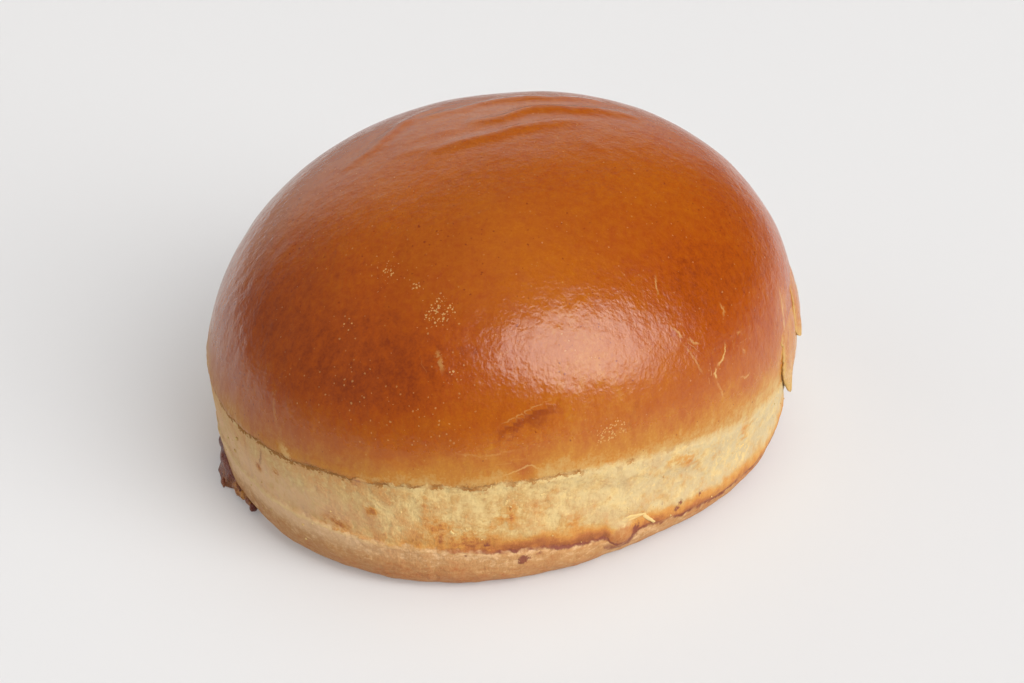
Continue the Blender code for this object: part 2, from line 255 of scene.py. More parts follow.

# Lines in the crust, a few of them painted highlight or painted shade: places (degrees,
# height in mm) along it, its width, and how pale it is, or how dark where that is below 0
Line = namedtuple("Line", "places width pale")
LINES = (
    Line(((324.8, 36.7), (324.4, 35.2), (322.8, 34.0), (320.8, 33.4)), 0.27, 0.85),
    Line(((320.8, 33.4), (320.0, 32.2), (320.2, 31.0)), 0.33, 0.90),
    Line(((320.2, 31.0), (321.0, 29.0), (322.0, 26.4)), 0.25, 0.40),
    Line(((315.8, 40.6), (316.2, 39.4), (318.2, 38.6)), 0.28, 0.45),
    Line(((329.0, 36.6), (330.4, 36.3)), 0.35, 0.40),
    Line(((329.4, 33.3), (330.0, 32.8)), 0.45, 0.50),
    Line(((315, 50.6), (313.4, 49.4), (312.4, 47.6)), 0.22, 0.45),
    Line(((312.2, 43.4), (313.6, 42.0), (314.2, 40.4)), 0.25, 0.40),
    Line(((327.5, 42.8), (328.2, 41.6), (327, 40.4)), 0.42, 0.40),
    Line(((349.5, 37), (348, 33), (346.8, 29), (345, 25.6), (342, 22.6)), 0.42, 0.60),
    Line(((228.6, 25.6), (230.4, 23.8), (232.2, 21.9)), 0.85, 0.90),
    # painted highlight: a pale streak along a glossy fold at the left
    Line(((224.4, 35.0), (226, 31.0), (227.8, 27.2)), 0.40, 0.20),
    # painted shade: a crack in the belt drawn as a dark line
    Line(((223.2, 21.6), (222.4, 19.0), (221.2, 16.4)), 0.30, -0.55),
    # painted highlight: a pale glint on the glaze
    Line(((258, 46.4), (259.3, 44.6), (260, 43.2)), 0.45, 0.40),
    Line(((270.5, 35.0), (274, 36.3), (277.5, 37.5), (282, 38.3)), 0.16, 0.35),
    Line(((269.5, 33.6), (273, 34.5), (277.0, 36.2), (280, 36.6), (284, 37.4)), 1.15, -0.75),
    Line(((276, 34.2), (279.5, 35.4), (281, 35.2)), 0.90, -0.50),
    Line(((300, 34.2), (298, 31.5), (296.8, 29.0)), 0.45, -0.35),
    Line(((262, 31.0), (268, 30.0), (275, 30.6)), 0.25, 0.25),
    Line(((313, 41.0), (315.5, 37.0), (317, 33.0)), 0.22, 0.30),
    Line(((270.0, 25.6), (273.5, 26.4), (276.5, 27.4), (279.5, 25.4)), 0.18, 0.55),
    Line(((327, 29.0), (329, 27.8), (331, 28.4)), 0.22, 0.50),
    Line(((60, 40.0), (63, 37.0), (64, 33.0)), 0.25, 0.35),
    Line(((150, 36.0), (148, 33.0), (150, 30.0)), 0.25, 0.35),
)
LINE_REACH = 0.003  # beyond this a line isn't felt
LINE_ENDS = 0.0004
LINE_SPAN = 8.0  # a distance is kept up to this many times the line's width

# Pale skins that lift off the belt: degrees, height, length, width in mm, turn
Skin = namedtuple("Skin", "azimuth height length width turn")
SKINS = (
    Skin(298.9, 9.7, 5.0, 0.65, -5), Skin(299.2, 9.2, 3.0, 0.45, 9),
    Skin(302.4, 8.2, 4.3, 0.75, -47), Skin(265, 14.6, 1.0, 0.5, 20),
    Skin(262, 14.0, 0.9, 0.5, -50), Skin(272, 19.8, 1.1, 0.5, 70), Skin(279, 20.2, 0.9, 0.5, 10),
    Skin(330, 12.0, 1.3, 0.5, 15), Skin(20, 11.0, 1.4, 0.6, 30), Skin(75, 12.5, 1.5, 0.6, -20),
    Skin(140, 13.0, 1.2, 0.6, 35),
)
SKIN_THICKNESS = 0.00014

# Loose crumbs, in mm
CRUMB_SEED = 41
CRUMB_HEIGHTS = (5.0, 19.0)
CRUMB_SIZES = (0.09, 0.20)
LARGE_CRUMBS = 0.06  # this share of them is twice as large
CRUMB_UNEVEN = 0.38
OUTSIDE = 0.1  # places on the crust are looked for from this far out

# Materials
GLAZE_IOR = 1.5
FULL_BAKE = 0.76  # where the full bake lies among the glaze's colours
CRACK_ROUGHNESS = 0.95
NOISE_STEPS = (0.013, 0.007, 0.011)  # metres from one noise to the next
# Noises that the layers of the crust share, from coarse to fine
Grit = namedtuple("Grit", "broad cloud fleck grain")

# Camera, lights, room and floor: directions are azimuth and elevation
CAMERA_TARGET = (0.00116, 0.00085, 0.01907)
CAMERA_FROM = (270, 32)
CAMERA_DISTANCE = 0.4634
CAMERA_LENS = 84.69
CAMERA_ROLL = -0.011
CAMERA_CLIP = 0.01
SENSOR_WIDTH = 36
LAMP_TARGET = (0, 0, 0.03)
LAMP_DISTANCE = 6.0
KEY_FROM = (-40, 33)
KEY_ROLL = -0.93
KEY_SIZE = (5.9, 3.6)
KEY_RIM_SIZE = (8.9, 4.5)  # a dimmer light behind it softens its edge
FILL_FROM = (-10, 70)
FILL_SIZE = (9.0, 9.0)
SIDE_FROM = (190, 18)
ROOM_COLOUR = (1.0, 0.985, 0.97)
DIM_AT = (5, 25)
DIM_RANGE = (0.25, 0.85)  # cosines of the angles over which the room dims
GLOW_AT = (100, 8)
GLOW_RANGE = (0.72, 0.99)
FLOOR_REACH = 8.0
# painted shade: the floor darkens away from the bun, so that the glaze reflects a dim room
PALE_MIDDLE = (-0.03, 0.07, 0.0)  # the floor is pale round here
PALE_REACH = (0.213, 0.35)  # and turns darker between these distances
FLOOR_ROUGHNESS = 0.9
FLOOR_SHINE = 0.1

# Soft round patches of the crust: degrees, height and radius in mm, strength
PATCHES = {
    "scuff": (  # pale dry specks on the glaze
        (291, 29.2, 1.5, 1), (293, 30, 1.9, 1), (295.6, 30.4, 1.7, 1), (237, 47, 2.4, 0.72),
        (250, 53, 2, 0.7), (257.5, 50.6, 4, 1), (241, 54, 3.6, 0.8), (243, 38, 8, 0.5),
        (257, 35, 8, 0.45), (262, 43, 2.2, 0.7), (286, 46, 3, 0.6), (231, 34, 5, 0.35),
        (350, 25, 2, 0.6), (120, 40, 6, 0.5), (40, 44, 5, 0.4),
    ),
    "tone": (  # darker and paler patches on the dome; some pale ones are painted highlight
        (240, 39, 14, 0.18), (217, 41, 12, 0.1), (257, 43, 9, 0.1), (325, 45, 15, 0.08),
        # painted highlight: (289, 44) and (309, 41) make the glaze paler where the key light's reflection
        # lies
        (289, 44, 12, -0.24), (309, 41, 6, -0.12), (275.5, 25.5, 2, 0.24), (349.5, 33.5, 3, -0.28),
        (345.5, 26, 2.6, -0.22), (290, 27, 10, 0.03), (200, 60, 20, -0.14), (176, 46, 14, -0.17),
        (280, 57, 15, -0.15), (350, 62, 14, -0.06), (100, 62, 15, -0.12), (340, 59, 13, -0.08),
        (50, 60, 18, -0.09), (100, 44, 20, 0.06), (150, 50, 14, -0.04),
    ),
    "prick": (  # dark pinpricks in the glaze
        (196, 44, 15, 0.9), (208, 34, 9, 0.7), (352, 46, 13, 0.7), (20, 54, 13, 0.6),
        (289, 45, 8, 0.45), (265, 58, 10, 0.35), (100, 48, 18, 0.6),
    ),
    "blotch": (  # orange toast on the belt
        (226.5, 18, 1, 1), (221, 16.4, 1.3, 0.6), (247.5, 17.6, 1.4, 1), (240, 12, 3, 0.45),
        (259, 15.5, 3, 0.7), (265, 12, 3.4, 0.8), (272, 16.5, 3.4, 0.8), (279, 17.4, 2, 0.45),
        (285, 12.2, 3, 0.5), (308, 18.8, 1.8, 0.75), (311.5, 18, 1.8, 0.7), (315, 15.5, 3, 0.4),
        (319, 17.6, 2.4, 0.4), (331, 15, 3.4, 0.6), (30, 15, 4, 0.6), (88, 14, 4.5, 0.6),
        (135, 16, 4, 0.6), (180, 15, 3, 0.5),
    ),
    "flaky": (  # whitish flaky skin on the belt
        (262, 23, 2.4, 1), (268, 22.6, 2.2, 0.9), (257, 21.5, 2, 0.6), (276, 20.5, 2, 0.6),
        (285, 19, 2.4, 0.7), (265, 14.5, 1.6, 0.8), (331, 11, 3, 1), (324, 12.5, 2.4, 0.8),
        (20, 16, 3, 0.8), (110, 17, 3, 0.8),
    ),
    "char": (  # burnt dough at the heel
        (274.6, 6.6, 0.8, 1), (275.8, 7.3, 0.8, 0.9), (278.4, 8, 0.7, 0.7), (268.2, 10.9, 0.8, 0.7),
        (264, 8.9, 0.5, 0.8), (299.6, 6.9, 0.9, 1), (306.5, 9.6, 0.6, 0.6), (310.2, 7.2, 0.8, 0.8),
        (311.4, 8.2, 0.6, 0.7), (316.5, 8, 0.7, 0.7), (45, 8.5, 1.2, 0.7), (98, 7.5, 1.5, 0.8),
    ),
}


def tint(name, text, default):
    return FloatVectorProperty(
        name=name, description=text, default=default, subtype="COLOR", size=3, min=0, max=1
    )


def length_of(name, text, default, low, high):
    return FloatProperty(
        name=name, description=text, default=default, min=low, max=high, unit="LENGTH",
        subtype="DISTANCE", precision=5,
    )


def part_of(name, text, default, high=1.0):
    return FloatProperty(
        name=name, description=text, default=default, min=0, max=high, subtype="FACTOR"
    )


class BunForm(bpy.types.PropertyGroup):
    """Sizes of the bun and of the relief in its crust."""

    mean_radius: length_of("Mean radius", "Of the outline from above", 0.055, 0.04, 0.07)
    height: length_of("Height", "From the base to the top", 0.0632, 0.04, 0.08)
    seam_height: length_of("Seam height", "Mean height of the glaze's edge", 0.0202, 0.01, 0.03)
    lip: length_of("Lip", "How far the glazed crust stands out", 0.0007, 0, 0.003)
    crack_depth: length_of("Crack depth", "Of the seam where it is open", 0.00024, 0, 0.003)
    dome_lumps: length_of("Dome lumps", "Height of the dome's broad lumps", 0.00028, 0, 0.002)
    belt_lumps: length_of("Belt lumps", "Height of the belt's lumps", 0.00024, 0, 0.002)
    sliver_thickness: length_of("Sliver thickness", "Of the torn crust", 0.00035, 0.0001, 0.001)
    crumbs: IntProperty(name="Crumbs", description="Number of loose crumbs", default=70, min=0, max=400)


class BunColours(bpy.types.PropertyGroup):
    """Colours of the glaze and of the bare crust, and how glossy they are."""

    gold: tint("Gold", "Glaze at the seam", (0.53, 0.32, 0.095))
    honey: tint("Honey", "Glaze a little above the seam", (0.45, 0.170, 0.012))
    amber: tint("Amber", "Glaze half way to the full bake", (0.375, 0.092, 0.002))
    chestnut: tint("Chestnut", "Fully baked glaze", (0.305, 0.053, 0.001))
    mahogany: tint("Mahogany", "Darkest glaze", (0.20, 0.028, 0.001))
    cream: tint("Cream", "Palest bare crust", (0.69, 0.490, 0.195))
    straw: tint("Straw", "Bare crust", (0.57, 0.33, 0.100))
    orange: tint("Orange", "Toasted blotches", (0.55, 0.235, 0.040))
    tan: tint("Tan", "Baked bare crust", (0.40, 0.125, 0.024))
    umber: tint("Umber", "Darkest bare crust", (0.17, 0.040, 0.010))
    film: tint("Film", "Dull pale skin", (0.53, 0.410, 0.225))
    blush: tint("Blush", "Pinkish pale skin", (0.75, 0.49, 0.265))
    foot: tint("Foot", "Crust that lay on the tray", (0.485, 0.247, 0.084))
    scorch: tint("Scorch", "Burnt dough at the heel", (0.19, 0.040, 0.018))
    # painted shade: the open seam's colour is its baked crust darkened for the shade in the groove
    crack: tint("Crack", "Inside of the open seam", (0.37, 0.155, 0.030))
    drip_dark: tint("Drip", "Burnt glossy egg wash", (0.105, 0.017, 0.013))
    drip_warm: tint("Drip's thin part", "Where it is thinner", (0.30, 0.105, 0.03))
    glaze_roughness: part_of("Glaze roughness", "Of the egg-washed dome", 0.20)
    crust_roughness: part_of("Crust roughness", "Of the bare belt and foot", 0.66)


class BunStage(bpy.types.PropertyGroup):
    """Floor, light and camera."""

    floor: tint("Floor", "Colour of the floor", (0.56, 0.553, 0.55))
    # painted shade: a darker floor away from the bun, which the glaze reflects as a dim room
    far_floor: tint("Far floor", "Colour of the floor far away", (0.25, 0.246, 0.243))
    floor_glow: part_of("Floor glow", "Light that the floor gives off", 0.20, 1.0)
    key: part_of("Key light", "Radiance of the middle of the large soft light", 5.4, 40.0)
    key_rim: part_of("Key light's rim", "Radiance of all of the soft light", 2.95, 40.0)
    fill: part_of("Fill light", "Radiance of the soft light from above", 1.05, 40.0)
    side: part_of("Side light", "Radiance of the soft light from the left", 0.60, 40.0)
    room: part_of("Room", "Brightness of the room", 0.19, 4.0)
    glow: part_of("Glow", "Extra brightness at the back on the left", 0.60, 4.0)
    dim_side: part_of("Dim side", "Share of the room's light kept at the right", 0.40, 1.0)


def table_at(table, azimuth):
    """A value from a table of (degrees, value) that goes right round the bun."""
    return np.interp(np.degrees(azimuth) % 360, *zip(*table))


def smooth_step(value):
    value = np.clip(value, 0.0, 1.0)
    return value * value * (3 - 2 * value)


def waves_at(waves, azimuth):
    return sum(
        wave.size * np.cos(wave.repeats * (azimuth - math.radians(wave.peak_at)))
        for wave in waves
    )


def bumps_at(layers, places):
    """Smooth noise at each place, in layers of bumps."""
    total = 0
    for layer in layers:
        scaled = places / (layer.size * np.array(layer.stretch)) + NOISE_APART * layer.seed
        total += layer.share * np.array([noise.noise(place) for place in scaled.tolist()])
    return total


def ring_bumps(layers, azimuth):
    """Smooth noise round a ring, in layers of bumps."""
    ring = np.linspace(0, 2 * math.pi, RING_STEPS, endpoint=False)
    circle = np.stack((np.cos(ring), np.sin(ring), 0 * ring), axis=1) * RING_RADIUS
    return np.interp(azimuth % (2 * math.pi), ring, bumps_at(layers, circle), period=2 * math.pi)


def outline_radius(form, azimuth):
    return form.mean_radius + waves_at(OUTLINE_WAVES, azimuth)


def seam_height(form, azimuth):
    return form.seam_height + waves_at(SEAM_WAVES, azimuth)


def seam_line(form, azimuth):
    """The seam with its small steps and teeth."""
    teeth = np.abs(ring_bumps(SEAM_TEETH, azimuth))
    return seam_height(form, azimuth) + ring_bumps(SEAM_WANDER, azimuth) - teeth


def round_from(azimuth, degrees):
    """Degrees round the bun from one direction, from -180 to 180."""
    return (np.degrees(azimuth) - degrees + 180) % 360 - 180


def heel_line(azimuth):
    """The tray crust's upper edge, which runs under the knob in the belt."""
    dip = KNOB_DIP * np.exp(-((round_from(azimuth, KNOB_AT) / KNOB_WIDTH) ** 4))
    wander = ring_bumps(HEEL_WANDER, azimuth)
    return HEEL_HEIGHT + waves_at(HEEL_WAVES, azimuth) + wander - dip


def stretches(corners, places):
    """For each stretch of a path: its start and direction, and for each place the nearest
    point's share of the path and the way from that point, with its length."""
    lengths = [float(np.linalg.norm(end - start)) for start, end in zip(corners, corners[1:])]
    passed = 0.0
    for start, end, length in zip(corners, corners[1:], lengths):
        run = (end - start) / length
        reach = (places - start) @ run
        along = np.clip(reach, 0, length)
        away = places - start - along[:, None] * run
        beside = (reach > -LINE_ENDS) & (reach < length + LINE_ENDS)
        share = (passed + along) / sum(lengths)
        yield start, run, share, away, np.linalg.norm(away, axis=1), beside
        passed += length


def crease_rise(crease, places):
    """Height of a crease over the smooth dome, with a crisp crest."""
    gap = np.full(len(places), FAR)
    share = np.zeros(len(places))
    for _, run, along, away, distance, _ in stretches(np.array(crease.crest) * MM, places):
        behind = np.where(run[0] * away[:, 1] - run[1] * away[:, 0] < 0, -1.0, 1.0)
        nearer = distance < np.abs(gap)
        gap = np.where(nearer, behind * distance, gap)
        share = np.where(nearer, along, share)
    width = np.where(gap < 0, crease.front, crease.back) * MM
    slope = (1 - np.clip(np.abs(gap) / width, 0, 1)) ** 2
    return crease.rise * MM * slope * np.sqrt(np.clip(np.sin(math.pi * share), 0, 1))


def dome_profile(form, azimuth, z):
    """How far up the dome a height is, from 0 to 1, and the dome's reach at that height."""
    seam = seam_height(form, azimuth)
    up = np.clip((z - seam) / (form.height - seam), 0, 1)
    return up, outline_radius(form, azimuth) * (1 - up**DOME_FULLNESS) ** (1 / DOME_FULLNESS)


def dome_radius(form, azimuth, z):
    """Distance of the dome from its axis at a height, and of its edge below that."""
    up, reach = dome_profile(form, azimuth, z)
    return reach + (TOP_SHIFT[0] * np.cos(azimuth) + TOP_SHIFT[1] * np.sin(azimuth)) * up


def wall_radius(form, azimuth, z, line):
    """Distance of the belt from the axis, under the lip and over the tray crust's step."""
    seam = seam_height(form, azimuth)
    drop = np.clip((seam - z) / (seam - FOOT_HEIGHT), 0.0, None)
    lip = form.lip + waves_at(LIP_WAVES, azimuth)
    taper = BELT_TAPER - lip - waves_at(FOOT_WAVES, azimuth)
    drawn_in = lip * smooth_step((line - z) / table_at(LIP_DROPS, azimuth))
    drawn_in = drawn_in + taper * drop**BELT_CURVE
    heel = smooth_step((heel_line(azimuth) - z) / HEEL_BLEND + 0.5)
    return outline_radius(form, azimuth) - drawn_in + HEEL_STEP * heel


def crust_places(form, row, azimuth):
    """Places on the bun for rows counted from the top, and the seam's height there."""
    around = np.stack((np.cos(azimuth), np.sin(azimuth)), axis=1)
    seam = seam_height(form, azimuth)
    line = seam_line(form, azimuth)
    climb = np.clip(1 - row / DOME_ROWS, 0, 1)
    over = (form.height - seam) * np.sin(climb * math.pi / 2) ** (2 / DOME_FULLNESS)
    dome_z = seam + over + (line - seam) * np.exp(-over / SEAM_FADE)
    up, reach = dome_profile(form, azimuth, dome_z)
    dome = reach[:, None] * around + np.array(TOP_SHIFT) * up[:, None]
    folds = sum(crease_rise(crease, dome) for crease in CREASES)

    seam_part = np.clip((row - DOME_ROWS) / SEAM_ROWS, 0, 1)
    belt_part = np.clip((row - DOME_ROWS - SEAM_ROWS) / BELT_ROWS, 0, 1)
    wall_z = line - SEAM_BAND * seam_part + (FOOT_HEIGHT - line + SEAM_BAND) * belt_part
    wall = wall_radius(form, azimuth, wall_z, line)
    turn = np.clip((row - DOME_ROWS - SEAM_ROWS - BELT_ROWS) / FOOT_ROWS, 0, 1) * math.pi / 2
    inward = np.clip((row - 3 * HALF_CELLS) / HALF_CELLS, 0, 1)
    wall = (wall - FOOT_INSET * (1 - np.cos(turn))) * (1 - inward)
    wall_z = np.where(turn > 0, FOOT_HEIGHT * (1 - np.sin(turn)), wall_z)

    on_dome = row <= DOME_ROWS
    level = np.where(on_dome[:, None], dome, wall[:, None] * around) + np.array(AXIS)
    return np.column_stack((level, np.where(on_dome, dome_z + folds, wall_z))), line


def rows_of_cube(cube):
    """The row and azimuth where each point of the cube from -1 to 1 is wrapped."""
    x = math.sqrt(2) * np.sin(cube[:, 0] * math.pi / 4)
    y = math.sqrt(2) * np.sin(cube[:, 1] * math.pi / 4)
    disc_x = x * np.sqrt(1 - y * y / 2)
    disc_y = y * np.sqrt(1 - x * x / 2)
    radius = np.hypot(disc_x, disc_y)
    z = cube[:, 2]
    ring = np.where(z > 1 - TINY, radius, np.where(z < TINY - 1, 4 - radius, 2 - z))
    return ring * HALF_CELLS, np.arctan2(disc_y, disc_x)


def get_vectors(items, name):
    """One vector of each point or normal."""
    flat = np.empty(len(items) * 3, np.float32)
    items.foreach_get(name, flat)
    return flat.reshape(-1, 3).astype(float)


def set_points(mesh, points):
    mesh.vertices.foreach_set("co", points.astype(np.float32).ravel())
    mesh.update()


def put_object(name, data):
    """Adds an object to the scene, in place of an older one of that name."""
    old = bpy.data.objects.get(name)
    if old is not None:
        bpy.data.objects.remove(old, do_unlink=True)
    thing = bpy.data.objects.new(name, data)
    bpy.context.scene.collection.objects.link(thing)
    return thing


def put_mesh(name, cells, material):
    """Adds an object of the edited mesh."""
    mesh = bpy.data.meshes.new(name)
    cells.to_mesh(mesh)
    cells.free()
    mesh.materials.append(material)
    return put_object(name, mesh)


def add_piece(name, cells, material, thickness=None):
    """Makes a finished piece of the edited mesh, hangs it on the bun's body and hides the solid part that
    it replaces.
    """
    bmesh.ops.recalc_face_normals(cells, faces=cells.faces)
    piece = put_mesh(name, cells, material)
    piece.data.shade_smooth()
    if thickness is not None:
        shell = piece.modifiers.new("thickness", "SOLIDIFY")
        shell.thickness = thickness
        shell.offset = 0
    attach(piece, "root")
    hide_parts("brioche_bun")
    return piece


def cut_cube(cells_across):
    cube = bmesh.new()
    bmesh.ops.create_cube(cube, size=2)
    bmesh.ops.subdivide_edges(
        cube, edges=cube.edges, cuts=cells_across - 1, use_grid_fill=True
    )
    return cube


def knob_shape(azimuth, z):
    """1 in the middle of the knob of dough and 0 away from it."""
    side = round_from(azimuth, KNOB_AT) / KNOB_WIDTH
    rise = (z - KNOB_HEIGHT) / KNOB_TALL
    return np.exp(-((side**2 + rise**2) ** 1.5))


def crust_relief(form, places, azimuth, over_seam, over_heel, openness):
    """How far each place is pushed out of the smooth form, in metres."""
    on_dome = smooth_step(over_seam / DOME_START + 0.2)
    on_base = smooth_step((BASE_END - places[:, 2]) / BASE_END)
    bare = (1 - on_dome) * (1 - on_base)

    left = np.exp(-((round_from(azimuth, RIDGES_AT) / RIDGES_WIDTH) ** 2))
    left = left * np.clip(1 - np.abs(over_seam - RIDGES_MIDDLE) / RIDGES_REACH, 0, 1)
    dome = form.dome_lumps * bumps_at(DOME_BUMPS, places) + bumps_at(RIDGE_BUMPS, places) * left
    belt = form.belt_lumps * bumps_at(BELT_BUMPS, places)
    crack_at = (over_seam + CRACK_DROP) / CRACK_WIDTH
    groove = form.crack_depth * openness * np.exp(-(crack_at**2))
    puff = PUFF * openness * np.exp(-(((over_seam - PUFF_HEIGHT) / PUFF_HEIGHT) ** 2))
    crease = HEEL_CREASE * np.exp(-((over_heel / HEEL_CREASE_WIDTH) ** 2))
    knob = KNOB_OUT * knob_shape(azimuth, places[:, 2])
    return on_dome * dome + bare * belt + puff + bare * (knob - crease) - groove


def axis_place(azimuth, radius, z):
    """A place from its direction, its distance from the outline's axis and its height."""
    return radius * math.cos(azimuth) + AXIS[0], radius * math.sin(azimuth) + AXIS[1], z


def surface_place(form, degrees, height_mm):
    """A place on the crust, from its direction and height."""
    azimuth, z = math.radians(degrees), height_mm * MM
    if z >= seam_height(form, azimuth):
        radius = dome_radius(form, azimuth, z)
    else:
        radius = wall_radius(form, azimuth, z, seam_line(form, azimuth))
    return np.array(axis_place(azimuth, radius, z))


def draw_lines(form, places):
    """Signed distance to the nearest line in its widths, and how pale or dark it is."""
    gap = np.full(len(places), LINE_SPAN)
    nearest = np.full(len(places), LINE_REACH)
    pale = np.zeros(len(places))
    for line in LINES:
        corners = [surface_place(form, *place) for place in line.places]
        for start, run, share, away, distance, beside in stretches(corners, places):
            side = np.sign(np.cross(run, away) @ (start * np.array([1, 1, 0.3])))
            fade = np.clip(4 * share, 0, 1) * np.clip(4 * (1 - share), 0, 1) * beside
            nearer = distance < nearest
            widths = np.clip(side * distance / (line.width * MM), -LINE_SPAN, LINE_SPAN)
            gap = np.where(nearer, widths, gap)
            pale = np.where(nearer, line.pale * fade, pale)
            nearest = np.minimum(nearest, distance)
    return gap, np.maximum(pale, 0), np.maximum(-pale, 0)


def dab_patches(form, places, patches):
    total = np.zeros(len(places))
    for degrees, height, radius, strength in patches:
        distance = np.linalg.norm(places - surface_place(form, degrees, height), axis=1)
        total += strength * np.exp(-((distance / (radius * MM)) ** 2))
    return np.clip(total, -1, 1)


def bake_amount(places, azimuth, over_seam):
    """How far each place is baked, from 0 for pale to 1 for the full colour."""
    rise = np.clip(over_seam - table_at(GOLD_RISE, azimuth), 0, None)
    rise = rise * (1 + bumps_at(RISE_BUMPS, places)) * (1 + bumps_at(FINE_RISE_BUMPS, places))
    near_seam = bumps_at(SEAM_BAKE_BUMPS, places) * smooth_step(1.4 - over_seam / 0.009)
    belt = table_at(BELT_BAKE, azimuth) + bumps_at(BELT_BAKE_BUMPS, places)
    return np.where(over_seam > 0, np.interp(rise, *zip(*DOME_BAKE)) + near_seam, belt)


def make_crust(form, colours):
    mesh = add_piece("baked_crust", cut_cube(CUBE_CELLS), crust_material(colours)).data
    row, azimuth = rows_of_cube(get_vectors(mesh.vertices, "co"))
    places, line = crust_places(form, row, azimuth)
    set_points(mesh, places)
    over_seam = places[:, 2] - line
    over_heel = places[:, 2] - heel_line(azimuth)
    patchy = 0.75 + ring_bumps(OPEN_WANDER, azimuth)
    patchy = patchy * smooth_step(0.65 + ring_bumps(OPEN_GAPS, azimuth))
    openness = np.clip(table_at(SEAM_OPEN, azimuth) * 1.3 * patchy, 0, 1)
    relief = crust_relief(form, places, azimuth, over_seam, over_heel, openness)
    raised = places + get_vectors(mesh.vertex_normals, "vector") * relief[:, None]
    raised[:, 2] = np.maximum(raised[:, 2], 0)
    set_points(mesh, raised)

    gap, pale, dark = draw_lines(form, places)
    under_knob = KNOB_HEIGHT - places[:, 2]
    beside = smooth_step(round_from(azimuth, KNOB_RIM_AT) / KNOB_RIM_WIDTH)
    beside = beside * smooth_step((under_knob + KNOB_RIM_TALL) / KNOB_RIM_TALL)
    below = smooth_step((under_knob - KNOB_UNDER) / KNOB_UNDER_TALL)
    values = {
        "over_seam": np.clip(over_seam / MM, -20, 40),
        "over_heel": np.clip(over_heel / MM, -20, 20),
        "bake": bake_amount(places, azimuth, over_seam),
        "crack": openness, "line_gap": gap, "line_pale": pale, "line_dark": dark,
        "knob": knob_shape(azimuth, places[:, 2]), "knob_rim": np.maximum(beside, 0.8 * below),
    }
    for name, table in (
        ("burn", HEEL_SCORCH), ("toast", HEEL_TOAST), ("blush", BLUSH), ("dull", DULLNESS),
        ("foot_bake", FOOT_BAKE), ("crisp", EDGE_CRISPNESS),
    ):
        values[name] = table_at(table, azimuth)
    for name, patches in PATCHES.items():
        values[name] = dab_patches(form, places, patches)
    for name, numbers in values.items():
        layer = mesh.attributes.new(name, "FLOAT", "POINT")
        layer.data.foreach_set("value", numbers.astype(np.float32))


class Wire:
    """A number or colour that one node hands to the next, and sums that are made of it."""

    def __init__(self, recipe, socket):
        self.recipe, self.socket = recipe, socket

    def math(self, operation, first, second=0.0):
        return self.recipe.node("ShaderNodeMath", 0, {0: first, 1: second}, operation=operation)

    def __add__(self, other):
        return self.math("ADD", self, other)

    def __sub__(self, other):
        return self.math("SUBTRACT", self, other)

    def __mul__(self, other):
        return self.math("MULTIPLY", self, other)

    def __abs__(self):
        return self.math("ABSOLUTE", self)

    def fraction(self):
        return self.math("FRACT", self)

    def or_more(self, other):
        return self.math("MAXIMUM", self, other)

    def between(self, low, high, to_low=0.0, to_high=1.0, kind="SMOOTHSTEP"):
        """Turns the range from low to high into the range from to_low to to_high."""
        return self.recipe.node(
            "ShaderNodeMapRange", "Result",
            {"Value": self, "From Min": low, "From Max": high, "To Min": to_low, "To Max": to_high},
            interpolation_type=kind, clamp=True,
        )

    def swing(self, amount):
        """Noise turned into a swing from about -amount to amount."""
        return self.between(0.28, 0.72, -amount, amount, "LINEAR")


